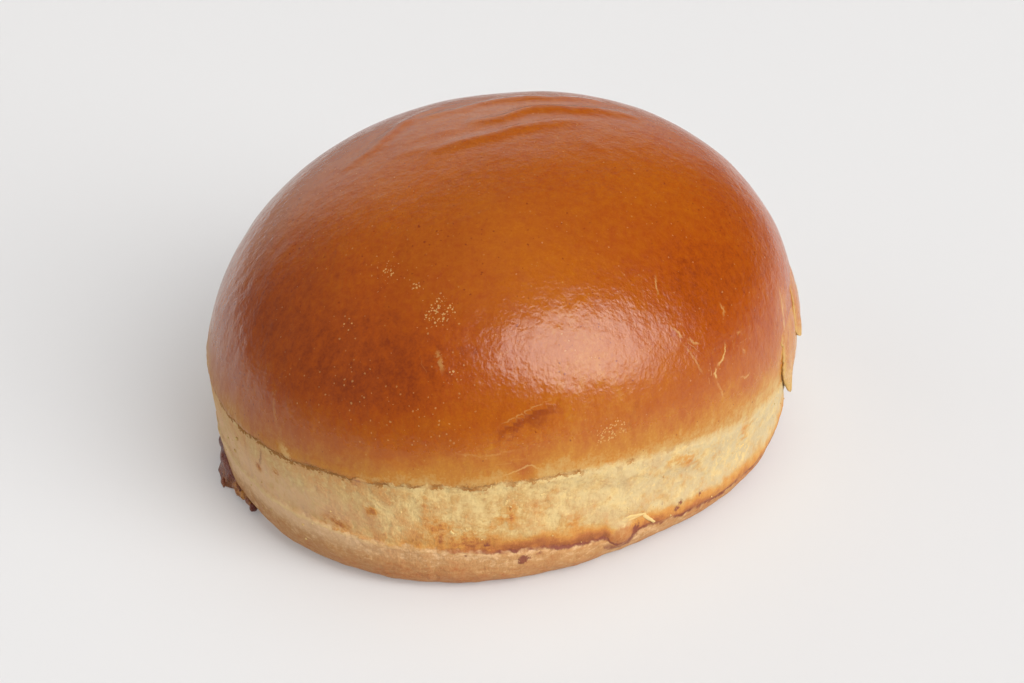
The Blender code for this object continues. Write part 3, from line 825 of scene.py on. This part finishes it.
class Recipe:
    """The nodes of a material or of the world, wired together step by step. Colours are
    named as in the palette, which is one of the groups of settings."""

    def __init__(self, owner, shader, place, palette):
        owner.use_nodes = True
        self.palette = palette
        self.owner = owner
        self.tree = owner.node_tree
        self.shader = self.tree.nodes[shader]
        self.place = self.node("ShaderNodeTexCoord", place, {})

    def fill(self, node, inputs):
        """Wires a node's inputs, or sets them where they get a plain value."""
        for name, value in inputs.items():
            if isinstance(value, Wire):
                self.tree.links.new(value.socket, node.inputs[name])
            else:
                node.inputs[name].default_value = value

    def node(self, kind, outlet, inputs, **settings):
        node = self.tree.nodes.new(kind)
        for name, value in settings.items():
            setattr(node, name, value)
        self.fill(node, inputs)
        return Wire(self, node.outputs[outlet])

    def read(self, attribute):
        return self.node("ShaderNodeAttribute", "Fac", {}, attribute_name=attribute)

    def noise(self, size_mm, detail=2.0, roughness=0.5, stretch=(1.0, 1.0, 1.0), shift=0.0):
        """Noise from 0 to 1 with features of about this size; the shift makes it another one."""
        moved = {
            "Vector": self.place, "Location": [shift * step for step in NOISE_STEPS],
            "Scale": stretch,
        }
        place = self.node("ShaderNodeMapping", "Vector", moved, vector_type="POINT")
        inputs = {
            "Vector": place, "Scale": 1 / (size_mm * MM), "Detail": detail, "Roughness": roughness,
        }
        return self.node("ShaderNodeTexNoise", "Fac", inputs, noise_dimensions="3D")

    def dots(self, spacing_mm):
        """Distance to scattered points and a random number for each of them."""
        inputs = {"Vector": self.place, "Scale": 1 / (spacing_mm * MM)}
        gap = self.node("ShaderNodeTexVoronoi", "Distance", inputs, feature="F1")
        colour = Wire(self, gap.socket.node.outputs["Color"])
        return gap, self.node("ShaderNodeSeparateColor", "Red", {"Color": colour})

    def tone(self, colour):
        return colour if isinstance(colour, Wire) else (*getattr(self.palette, colour), 1)

    def ramp(self, value, *stops):
        """Colours in order along a value from 0 to 1."""
        colour = self.node("ShaderNodeValToRGB", "Color", {"Fac": value})
        elements = colour.socket.node.color_ramp.elements
        while len(elements) < len(stops):
            elements.new(1.0)
        for element, (position, stop) in zip(elements, stops):
            element.position = position
            element.color = self.tone(stop)
        return colour

    def mix(self, factor, below, above):
        """Lays one colour over another."""
        inputs = {0: factor, 6: self.tone(below), 7: self.tone(above)}
        return self.node("ShaderNodeMix", 2, inputs, data_type="RGBA", clamp_factor=True)

    def blend(self, factor, below, above):
        """The same for numbers."""
        inputs = {0: factor, 2: below, 3: above}
        return self.node("ShaderNodeMix", 0, inputs, data_type="FLOAT", clamp_factor=True)

    def finish(self, colour, roughness, height_mm):
        """The crust's shader, with relief from a height in millimetres."""
        inputs = {"Strength": 1.0, "Distance": MM, "Height": height_mm}
        self.fill(self.shader, {
            "Base Color": colour, "Roughness": roughness, "IOR": GLAZE_IOR,
            "Normal": self.node("ShaderNodeBump", "Normal", inputs),
        })
        return self.owner


def new_recipe(name, palette):
    """A recipe for a new material, in place of an older one of that name."""
    old = bpy.data.materials.get(name)
    if old is not None:
        bpy.data.materials.remove(old)
    return Recipe(bpy.data.materials.new(name), "Principled BSDF", "Object", palette)


def glaze_colour(recipe, bake):
    return recipe.ramp(
        bake, (0.045, "gold"), (0.27, "honey"), (0.525, "amber"),
        (0.80, "chestnut"), (1.0, "mahogany"),
    )


def draw_strokes(recipe, grit, colour):
    """Adds the crust's lines to its colour, among them painted highlights and painted shade."""
    gap = abs(recipe.read("line_gap") + (grit.fleck.swing(0.7) + grit.grain.swing(0.5)))
    strength = recipe.read("line_pale")
    broken = (grit.fleck + strength * 0.20).between(0.36, 0.56)
    pale = gap.between(1.3, 0.3) * strength * broken
    dark = gap.between(1.8, 0.1) * recipe.read("line_dark")
    dark = dark * grit.cloud.between(0.30, 0.55, 0.35, 1.0)
    colour = recipe.mix(dark, colour, "mahogany")
    return recipe.mix(pale, colour, "straw")


def spots(recipe, grit, spacing_mm, share, smallest, largest, ragged):
    """Uneven spots of mixed sizes; their sizes and raggedness are shares of the spacing."""
    gap, pick = recipe.dots(spacing_mm)
    there = (share - pick).between(0.0, 0.04)
    size = (pick * 9.7).fraction().between(0.0, 1.0, smallest, largest, "LINEAR")
    edge = (size - gap) + grit.grain.swing(ragged)
    return there * edge.between(-0.3 * smallest, 0.6 * smallest)


def specks_on_glaze(recipe, grit):
    """Pale dry specks: a few everywhere, and close together in the scuffed patches."""
    scuff = recipe.read("scuff")
    share = scuff * 1.25 + grit.cloud.swing(0.25) + 0.24
    loose = spots(recipe, grit, 0.90, share, 0.08, 0.21, 0.14)
    loose = loose * scuff.between(0.0, 0.6, 0.22, 0.42)
    share = scuff * 2.6 + grit.cloud.swing(0.30) - 1.45
    close = spots(recipe, grit, 0.45, share, 0.22, 0.48, 0.25)
    return loose.or_more(close * 0.75)


def glaze_layer(recipe, grit):
    """Colour, roughness and height in mm of the glazed dome."""
    shade = recipe.noise(2.1, 2.0, 0.5, shift=20.0)
    streak = recipe.noise(1.5, 3.0, 0.6, stretch=(1.0, 1.0, 0.35), shift=24.0)
    tone = recipe.read("bake") * FULL_BAKE + recipe.read("tone")
    tone = tone + grit.broad.swing(0.035) + grit.cloud.swing(0.030) + grit.fleck.swing(0.055)
    tone = tone + grit.grain.swing(0.06) + streak.swing(0.07) + shade.between(0.58, 0.70, 0.0, 0.04)
    speck = specks_on_glaze(recipe, grit)
    colour = recipe.mix(speck, glaze_colour(recipe, tone), "straw")
    pin = spots(recipe, grit, 1.0, recipe.read("prick") * 0.9 + 0.08, 0.12, 0.25, 0.10)
    colour = recipe.mix(pin * 0.85, colour, "mahogany")
    rough = grit.cloud.swing(0.04) + grit.fleck.swing(0.03) + speck * 0.30
    rough = rough + recipe.read("over_seam").between(10.0, 1.0, 0.0, 0.26) + recipe.palette.glaze_roughness
    pebble = recipe.noise(0.75, 2.0, 0.5, stretch=(1.2, 1.2, 0.8), shift=14.0)
    dimple = recipe.noise(2.4, 2.0, 0.5, shift=16.0)
    return colour, rough, pebble * 0.065 + dimple * 0.17 + grit.grain * 0.024


def belt_layer(recipe, grit, over_heel):
    """Colour and height in mm of the bare belt."""
    smear = recipe.noise(1.7, 3.0, 0.6, stretch=(1.0, 1.0, 0.30), shift=8.0)
    patch = recipe.noise(4.0, 4.0, 0.62, shift=9.0)
    skin = recipe.noise(2.3, 4.0, 0.65, shift=10.0)
    warm = recipe.noise(2.0, 4.0, 0.70, stretch=(0.8, 0.8, 1.3), shift=11.0)
    toast = recipe.read("blotch") * warm.between(0.34, 0.62)
    heel_edge = over_heel + grit.cloud.swing(0.5) + grit.fleck.swing(0.2)
    halo = heel_edge.between(4.4, 0.3) + heel_edge.between(8.0, 2.0, 0.0, 0.22)
    halo = halo * recipe.read("toast") * patch.between(0.30, 0.56, 0.80, 1.0)
    mottle = grit.broad.swing(0.08) + patch.swing(0.28) + smear.swing(0.14)
    mottle = mottle + grit.fleck.swing(0.14) + grit.grain.swing(0.09)
    mottle = mottle * halo.between(0.1, 0.9, 1.0, 0.25)
    colour = recipe.ramp(
        recipe.read("bake") + toast * 0.45 + halo * 0.64 + mottle,
        (0.0, "cream"), (0.28, "straw"), (0.55, "orange"),
        (0.78, "tan"), (1.0, "umber"),
    )

    clear = (toast + halo).between(0.55, 0.10)
    blush = recipe.read("blush") * (patch + smear.swing(0.10)).between(0.32, 0.54, 0.30, 0.90)
    blush = blush * clear * recipe.read("over_seam").between(-1.5, -8.0, 0.35, 1.0)
    colour = recipe.mix(blush, colour, "blush")
    dull = recipe.read("dull")
    film = dull * skin.between(0.36, 0.56, 0.3, 1.0) * clear
    colour = recipe.mix(film, colour, "film")
    flaky = recipe.read("flaky")
    scale = recipe.noise(1.1, 4.0, 0.6, shift=22.0)
    flake = (scale + flaky * 0.12).between(0.56, 0.64)
    flake = flake * (skin + flaky * 0.15).between(0.48, 0.62) * clear * 0.8
    colour = recipe.mix(flake, colour, "cream")
    share = dull * 0.06 + grit.broad.swing(0.04) + 0.02
    pit = spots(recipe, grit, 1.6, share, 0.06, 0.14, 0.10)
    colour = recipe.mix(pit * 0.7, colour, "umber")
    return colour, grit.fleck * 0.25 + grit.grain * 0.08 + grit.cloud * 0.50 + smear * 0.22


def foot_layer(recipe, grit, over_heel):
    """Colour of the tray crust round the foot."""
    wrinkle = recipe.noise(1.3, 4.0, 0.65, stretch=(0.8, 0.8, 1.6), shift=12.0)
    low = over_heel.between(-1.0, -7.5, 0.0, 0.26)
    tone = wrinkle.swing(0.20) + grit.broad.swing(0.10) + grit.fleck.swing(0.10)
    tone = tone + grit.grain.swing(0.05) + recipe.read("foot_bake") + low + 0.28
    foot = recipe.ramp(
        tone, (0.0, "blush"), (0.34, "foot"), (0.75, "tan"), (1.0, "umber")
    )
    blush = recipe.read("blush") * wrinkle.between(0.30, 0.55, 0.3, 0.8) * low.between(0.16, 0.0)
    return recipe.mix(blush, foot, "blush")


def heel_marks(recipe, grit, over_heel, colour):
    """Adds the knob of dough, the dark rim round it and the burnt dough at the heel."""
    knob = recipe.read("knob")
    uneven = knob + (grit.fleck.swing(0.14) + grit.cloud.swing(0.08)) + grit.grain.swing(0.08)
    dough = recipe.mix(grit.fleck.between(0.20, 0.70), "foot", "tan")
    colour = recipe.mix(uneven.between(0.20, 0.70) * 0.85, colour, dough)
    rim = abs(uneven - 0.28).between(0.30, 0.08) * recipe.read("knob_rim")
    rim = rim * knob.between(0.01, 0.06)

    line = over_heel + grit.cloud.swing(0.35) + grit.fleck.swing(0.30)
    pale = abs(line + 0.5).between(0.55, 0.1) * recipe.read("blush") * 0.6
    colour = recipe.mix(pale, colour, "cream")
    burn = abs(line).between(0.58, 0.12) * recipe.read("burn").between(0.1, 0.8)
    burn = burn * grit.cloud.between(0.34, 0.52, 0.15, 1.0)
    char = recipe.read("char") + (grit.fleck.swing(0.30) + grit.grain.swing(0.20))
    mark = burn.or_more(char.between(0.28, 0.75)).or_more(rim * 0.95)
    return recipe.mix(mark * 0.92, colour, "scorch")


def crust_material(colours):
    recipe = new_recipe("baked_crust", colours)
    over_seam = recipe.read("over_seam")
    over_heel = recipe.read("over_heel")
    grit = Grit(
        recipe.noise(9.0, 3.0), recipe.noise(3.2, 3.0, 0.55, shift=2.0),
        recipe.noise(1.1, 3.0, 0.6, shift=4.0), recipe.noise(0.42, 2.0, 0.6, shift=6.0),
    )
    edge = over_seam + grit.cloud.swing(0.45) + grit.grain.swing(0.18)
    glaze = (edge * recipe.read("crisp")).between(-0.35, 0.25)

    glazed, gloss, glaze_height = glaze_layer(recipe, grit)
    bare, bare_height = belt_layer(recipe, grit, over_heel)
    foot = foot_layer(recipe, grit, over_heel)
    heel_edge = over_heel + grit.cloud.swing(0.6) + grit.fleck.swing(0.35)
    bare = recipe.mix(heel_edge.between(0.25, -0.35), bare, foot)
    bare = heel_marks(recipe, grit, over_heel, bare)
    colour = draw_strokes(recipe, grit, recipe.mix(glaze, bare, glazed))

    gape = recipe.read("crack")
    # painted shade: the open seam is coloured darker for the shade in its shallow groove, over its own
    # baked crust
    ragged = edge + grit.fleck.swing(0.55) + grit.grain.swing(0.15) + gape * 0.45 + 0.08
    crack = abs(ragged).between(0.62, 0.30) * gape.between(0.10, 0.60)
    rough = recipe.blend(glaze, recipe.palette.crust_roughness, gloss)
    return recipe.finish(
        recipe.mix(crack, colour, "crack"), recipe.blend(crack, rough, CRACK_ROUGHNESS),
        recipe.blend(glaze, bare_height, glaze_height),
    )


def sliver_material(colours):
    recipe = new_recipe("torn_crust", colours)
    cloud = recipe.noise(2.0, 3.0)
    fleck = recipe.noise(0.7, 3.0, 0.6, shift=3.0)
    tone = recipe.read("bake") + cloud.swing(0.14) + fleck.swing(0.06)
    rim = (recipe.read("near_edge") + fleck.swing(0.25) + cloud.swing(0.2)).between(0.28, 0.82)
    rough = recipe.blend(rim, recipe.palette.glaze_roughness + 0.04, recipe.palette.crust_roughness)
    colour = recipe.mix(rim, glaze_colour(recipe, tone), "gold")
    return recipe.finish(colour, rough, cloud * 0.12 + fleck * 0.08)


def drip_material(colours):
    recipe = new_recipe("burnt_egg_wash", colours)
    cloud = recipe.noise(1.9, 3.0, 0.55)
    fleck = recipe.noise(0.6, 3.0, 0.6, shift=3.0)
    colour = recipe.ramp(
        cloud.swing(0.30) + fleck.swing(0.18) + recipe.read("thin"), (0.0, "drip_dark"),
        (0.45, "scorch"), (0.75, "drip_warm"), (1.0, "orange"),
    )
    return recipe.finish(colour, fleck.between(0.3, 0.7, 0.20, 0.42), cloud * 0.45 + fleck * 0.18)


def crumb_material(name, colours, dark):
    recipe = new_recipe(name, colours)
    tone = recipe.read("shade") + recipe.noise(0.8, 3.0, 0.6).swing(0.2)
    fine = recipe.noise(0.3, 2.0, 0.6, shift=5.0)
    colour = recipe.ramp(tone, (0.2, "cream"), (0.9, dark))
    return recipe.finish(colour, fine.between(0.3, 0.7, 0.6, 0.85), fine * 0.05)


def sliver_noise(layers, number, fall, across):
    return sum(
        noise.noise((fall * times, across * 1.5, seed + number)) * share
        for times, seed, share in layers
    )


def make_slivers(form, colours):
    """Two thin sheets that leave the dome at their upper ends and narrow to ragged tips."""
    sheets = bmesh.new()
    edge_layer = sheets.verts.layers.float.new("near_edge")
    bake_layer = sheets.verts.layers.float.new("bake")
    for number, sliver in enumerate(SLIVERS):
        grid = bmesh.ops.create_grid(sheets, x_segments=30, y_segments=56, size=1)
        for vertex in grid["verts"]:
            across, up = vertex.co.x, vertex.co.y
            fall = (1 - up) / 2
            wide = SLIVER_TIP + (1 - SLIVER_TIP) * min(1.0, (1 - fall) / sliver.point) ** 0.75
            ragged = sliver_noise(SLIVER_RAGGED, number, fall, across)
            wide = wide * (1 + ragged * abs(across) * min(1, fall * 3))
            middle = sliver.middle + (sliver.tip_at - sliver.middle) * fall
            azimuth = math.radians(middle + sliver.half_width * wide * across)
            z = sliver.top + (sliver.tip - sliver.top) * fall
            free = 1 - max(0.0, -across) ** 1.5 * (1 - fall**7)
            lump = sliver_noise(SLIVER_LUMPS, number, fall, across) * fall
            rise = (sliver.lift * fall**SLIVER_CURL + lump) * free
            lift = rise - SLIVER_ROOT * (1 - fall) ** 3 + SLIVER_HEM
            vertex.co = axis_place(azimuth, dome_radius(form, azimuth, z) + lift, z)
            over = z - seam_height(form, azimuth)
            vertex[edge_layer] = max(abs(across) ** 3, fall**5) * min(1, 0.3 + fall)
            baked = np.interp(over, *zip(*DOME_BAKE)) + 0.12 * fall
            vertex[bake_layer] = FULL_BAKE * baked * SLIVER_PALER
    add_piece("crust_slivers", sheets, sliver_material(colours), form.sliver_thickness)


def drip_lump(degrees, z):
    along = (degrees - DRIP_FROM) / DRIP_LUMP_ANGLE
    up = z / DRIP_LUMP_HEIGHT
    return DRIP_LUMPS * math.sin(along + up / 2) * math.cos(up - along * 0.7)


def drip_radius(degrees, z, up):
    """Distance of the drip's face from the axis, up being 0 at its foot and 1 at its top."""
    along = (degrees - DRIP_FROM) / (DRIP_TO - DRIP_FROM)
    spur = DRIP_SPUR * math.exp(-(((degrees - DRIP_SPUR_AT) / DRIP_SPUR_WIDTH) ** 2))
    draw_in = DRIP_DRAW_IN * float(smooth_step(2 * along - 0.6))
    turn_in = DRIP_ENDS * (2 * along - 1) ** 6
    face = DRIP_REACH + spur * (1 - up) - draw_in - turn_in - DRIP_LEAN * up**2
    return face + drip_lump(degrees, z)


def make_drip(colours):
    """A lumpy skirt that fills the corner under the rounded foot and reaches out of it."""
    cube = cut_cube(DRIP_CELLS)
    thin_layer = cube.verts.layers.float.new("thin")
    for vertex in cube.verts:
        outward, along, up = ((value + 1) / 2 for value in vertex.co)
        degrees = DRIP_FROM + (DRIP_TO - DRIP_FROM) * along
        azimuth = math.radians(degrees)
        top = DRIP_TOP - DRIP_FALL * along + drip_lump(degrees, DRIP_TOP)
        z = DRIP_BASE + (top - DRIP_BASE) * up
        radius = drip_radius(degrees, z, up) - DRIP_DEPTH * (1 - outward)
        place = Vector((radius * math.cos(azimuth), radius * math.sin(azimuth), z))
        radius += sum(noise.noise(place / size) * height for size, height in DRIP_ROUGH)
        vertex.co = axis_place(azimuth, radius, max(z, LOWEST))
        low = math.exp(-((up / 0.50) ** 2)) * math.exp(-(((along - 0.60) / 0.40) ** 2))
        vertex[thin_layer] = DRIP_THIN[0] + DRIP_THIN[1] * low
    size, share = DROP_UNEVEN
    for drop in DROPS:
        middle = Vector(axis_place(math.radians(drop.azimuth), drop.distance, drop.height))
        ball = bmesh.ops.create_icosphere(cube, subdivisions=3, radius=drop.radius)
        for vertex in ball["verts"]:
            apart = Vector((drop.azimuth, 0, 0))
            vertex.co *= 1 + share * noise.noise(vertex.co / size + apart)
            vertex.co.z *= drop.tall
            vertex.co += middle
            vertex.co.z = max(vertex.co.z, LOWEST)
            vertex[thin_layer] = drop.thin
    add_piece("burnt_drip", cube, drip_material(colours))


def crust_tree():
    crust = bpy.data.objects.get("baked_crust")
    if crust is None:
        raise RuntimeError("Bake the crust first")
    return BVHTree.FromPolygons(
        [vertex.co for vertex in crust.data.vertices],
        [tuple(face.vertices) for face in crust.data.polygons],
    )


def standing_on(tree, degrees, height_mm, turn):
    """Axes on the crust at a direction and height: x along it, y up it and z out of it,
    then turned."""
    start = Vector(axis_place(math.radians(degrees), OUTSIDE, height_mm * MM))
    place, normal, _, _ = tree.ray_cast(start, -direction(degrees, 0))
    if place is None:
        raise RuntimeError("There is no crust at this height")
    side = Vector((0, 0, 1)).cross(normal).normalized()
    axes = Matrix((side, normal.cross(side), normal)).transposed().to_4x4()
    return Matrix.Translation(place) @ axes @ Matrix.Rotation(math.radians(turn), 4, "Z")


def make_skins(colours):
    """Thin curved scraps of dry skin that cling to the belt by one end."""
    tree = crust_tree()
    scraps = bmesh.new()
    shade_layer = scraps.verts.layers.float.new("shade")
    for number, skin in enumerate(SKINS):
        seat = standing_on(tree, skin.azimuth, skin.height, skin.turn)
        grid = bmesh.ops.create_grid(scraps, x_segments=9, y_segments=5, size=1)
        for vertex in grid["verts"]:
            along, across = vertex.co.x, vertex.co.y
            tip = (along * 0.5 + 0.5) ** 2
            ragged = noise.noise((along * 2.5, across * 2.0, number * 3.1)) * 0.35
            x = along * skin.length / 2 * (1 + 0.25 * ragged)
            y = across * skin.width / 2 * (1 - 0.45 * tip) * (1 + ragged)
            y = y + 0.12 * skin.width * along**2
            lift = 0.02 + 0.12 * tip * skin.length / 2 - 0.10 * across**2
            vertex.co = seat @ Vector((x * MM, y * MM, lift * MM))
            vertex[shade_layer] = 0.25 + 0.25 * noise.noise((number * 1.7, 0.5, 0.5))
    add_piece("dry_skins", scraps, crumb_material("dry_skin", colours, "orange"), SKIN_THICKNESS)


def make_crumbs(form, colours):
    """Loose crumbs that stick to the belt and the foot, each an uneven grain."""
    tree = crust_tree()
    rng = np.random.default_rng(CRUMB_SEED)
    grains = bmesh.new()
    shade_layer = grains.verts.layers.float.new("shade")
    for number in range(form.crumbs):
        degrees = rng.uniform(0, 360)
        height = rng.uniform(*CRUMB_HEIGHTS)
        size = rng.uniform(*CRUMB_SIZES) * (2.0 if rng.random() < LARGE_CRUMBS else 1.0)
        shade = rng.uniform(0.0, 0.45)
        seat = standing_on(tree, degrees, height, rng.uniform(0, 360))
        stretch = rng.uniform(0.7, 1.5)
        ball = bmesh.ops.create_icosphere(grains, subdivisions=2, radius=1)
        for vertex in ball["verts"]:
            uneven = 1 + CRUMB_UNEVEN * noise.noise(vertex.co * 1.6 + Vector((number, 0, 0)))
            local = vertex.co * size * uneven * MM
            local.x *= stretch
            local.z = local.z * 0.75 + size * 0.35 * MM
            vertex.co = seat @ local
            vertex[shade_layer] = shade
    add_piece("crumbs", grains, crumb_material("crumb", colours, "tan"))


def look_from(back, target, distance, roll):
    """A matrix for something at a distance from the target that looks at it."""
    up = Vector((0, 0, 1))
    right = up.cross(back).normalized()
    up = back.cross(right)
    turned_right = math.cos(roll) * right + math.sin(roll) * up
    turned_up = math.cos(roll) * up - math.sin(roll) * right
    matrix = Matrix((turned_right, turned_up, back)).transposed().to_4x4()
    matrix.translation = Vector(target) + back * distance
    return matrix


def direction(azimuth, elevation):
    azimuth, elevation = math.radians(azimuth), math.radians(elevation)
    level = math.cos(elevation)
    return Vector((level * math.cos(azimuth), level * math.sin(azimuth), math.sin(elevation)))


def add_camera():
    data = bpy.data.cameras.new("camera")
    data.sensor_width = SENSOR_WIDTH
    data.lens = CAMERA_LENS
    data.clip_start = CAMERA_CLIP
    camera = put_object("camera", data)
    camera.matrix_world = look_from(
        direction(*CAMERA_FROM), CAMERA_TARGET, CAMERA_DISTANCE, CAMERA_ROLL
    )
    bpy.context.scene.camera = camera


def add_lamp(name, radiance, size, towards, roll=0.0, shines=True):
    """A large soft oval light that faces the bun, and can be kept from shining in the glaze."""
    lamp = bpy.data.lights.new(name, "AREA")
    lamp.shape = "ELLIPSE"
    lamp.size, lamp.size_y = size
    lamp.energy = radiance * math.pi * (math.pi / 4) * size[0] * size[1]
    light = put_object(name, lamp)
    light.matrix_world = look_from(direction(*towards), LAMP_TARGET, LAMP_DISTANCE, roll)
    light.visible_glossy = shines


def add_room(stage):
    """A pale room: brighter at the back on the left, and dimmer at the right."""
    world = bpy.data.worlds.new("pale_room")
    recipe = Recipe(world, "Background", "Generated", stage)

    def towards(azimuth, elevation):
        """How near the angle is to one direction."""
        inputs = {0: recipe.place, 1: direction(azimuth, elevation)}
        return recipe.node("ShaderNodeVectorMath", "Value", inputs, operation="DOT_PRODUCT")

    dimmed = towards(*DIM_AT).between(*DIM_RANGE, stage.room, stage.room * stage.dim_side)
    glow = towards(*GLOW_AT).between(*GLOW_RANGE, 0.0, stage.glow)
    recipe.fill(recipe.shader, {"Color": (*ROOM_COLOUR, 1), "Strength": dimmed + glow})
    bpy.context.scene.world = world


def add_floor(stage):
    cells = bmesh.new()
    bmesh.ops.create_grid(cells, x_segments=8, y_segments=8, size=FLOOR_REACH)
    recipe = new_recipe("pale_floor", stage)
    inputs = {0: recipe.place, 1: PALE_MIDDLE}
    gap = recipe.node("ShaderNodeVectorMath", "Value", inputs, operation="DISTANCE")
    colour = recipe.mix(gap.between(*PALE_REACH), "floor", "far_floor")
    # painted light: the floor gives off light of its own, which lightens the shadows round the bun
    recipe.fill(recipe.shader, {
        "Base Color": colour, "Emission Color": colour,
        "Emission Strength": stage.floor_glow / stage.floor[0],
        "Roughness": FLOOR_ROUGHNESS, "Specular IOR Level": FLOOR_SHINE,
    })
    floor = put_mesh("floor", cells, recipe.owner)


class BUN_OT_bake_crust(bpy.types.Operator):
    """Bake the glazed dome with its seam, belt, foot and base"""

    bl_idname = "bun.bake_crust"
    bl_label = "Bake the crust"

    def execute(self, context):
        make_crust(context.scene.bun_form, context.scene.bun_colours)
        return {"FINISHED"}


class BUN_OT_tear_slivers(bpy.types.Operator):
    """Tear the two slivers of crust at the right"""

    bl_idname = "bun.tear_slivers"
    bl_label = "Tear the slivers"

    def execute(self, context):
        make_slivers(context.scene.bun_form, context.scene.bun_colours)
        return {"FINISHED"}


class BUN_OT_run_drip(bpy.types.Operator):
    """Run the burnt drip of egg wash at the left"""

    bl_idname = "bun.run_drip"
    bl_label = "Run the drip"

    def execute(self, context):
        make_drip(context.scene.bun_colours)
        return {"FINISHED"}


class BUN_OT_scatter_crumbs(bpy.types.Operator):
    """Put dry skins and loose crumbs on the belt and the foot"""

    bl_idname = "bun.scatter_crumbs"
    bl_label = "Scatter skins and crumbs"

    def execute(self, context):
        make_skins(context.scene.bun_colours)
        make_crumbs(context.scene.bun_form, context.scene.bun_colours)
        return {"FINISHED"}


class BUN_OT_set_stage(bpy.types.Operator):
    """Set the floor, the light and the camera"""

    bl_idname = "bun.set_stage"
    bl_label = "Set the stage"

    def execute(self, context):
        stage = context.scene.bun_stage
        add_floor(stage)
        add_lamp("key_light", stage.key, KEY_SIZE, KEY_FROM, KEY_ROLL)
        add_lamp("key_rim", stage.key_rim, KEY_RIM_SIZE, KEY_FROM, KEY_ROLL)
        add_lamp("fill_light", stage.fill, FILL_SIZE, FILL_FROM, shines=False)
        add_lamp("side_light", stage.side, FILL_SIZE, SIDE_FROM, shines=False)
        add_room(stage)
        add_camera()
        context.scene.view_settings.view_transform = "Standard"
        return {"FINISHED"}


OPERATORS = (
    BUN_OT_bake_crust, BUN_OT_tear_slivers, BUN_OT_run_drip, BUN_OT_scatter_crumbs,
    BUN_OT_set_stage,
)


class BUN_PT_sidebar(bpy.types.Panel):
    """Steps that make the bun, and its settings"""

    bl_idname = "BUN_PT_sidebar"
    bl_label = "Brioche Bun"
    bl_space_type = "VIEW_3D"
    bl_region_type = "UI"
    bl_category = "Bun"

    def draw(self, context):
        for operator in OPERATORS:
            self.layout.operator(operator.bl_idname)
        scene = context.scene
        for settings in (scene.bun_form, scene.bun_colours, scene.bun_stage):
            box = self.layout.box()
            for name in settings.bl_rna.properties.keys():
                if name not in ("rna_type", "name"):
                    box.prop(settings, name)


CLASSES = (BunForm, BunColours, BunStage, *OPERATORS, BUN_PT_sidebar)


def register():
    for item in CLASSES:
        bpy.utils.register_class(item)
    bpy.types.Scene.bun_form = PointerProperty(type=BunForm)
    bpy.types.Scene.bun_colours = PointerProperty(type=BunColours)
    bpy.types.Scene.bun_stage = PointerProperty(type=BunStage)


def unregister():
    del bpy.types.Scene.bun_stage
    del bpy.types.Scene.bun_colours
    del bpy.types.Scene.bun_form
    for item in reversed(CLASSES):
        bpy.utils.unregister_class(item)


def main():
    register()
    bpy.ops.bun.bake_crust()
    bpy.ops.bun.tear_slivers()
    bpy.ops.bun.run_drip()
    bpy.ops.bun.scatter_crumbs()
    bpy.ops.bun.set_stage()


if __name__ == "__main__":
    main()
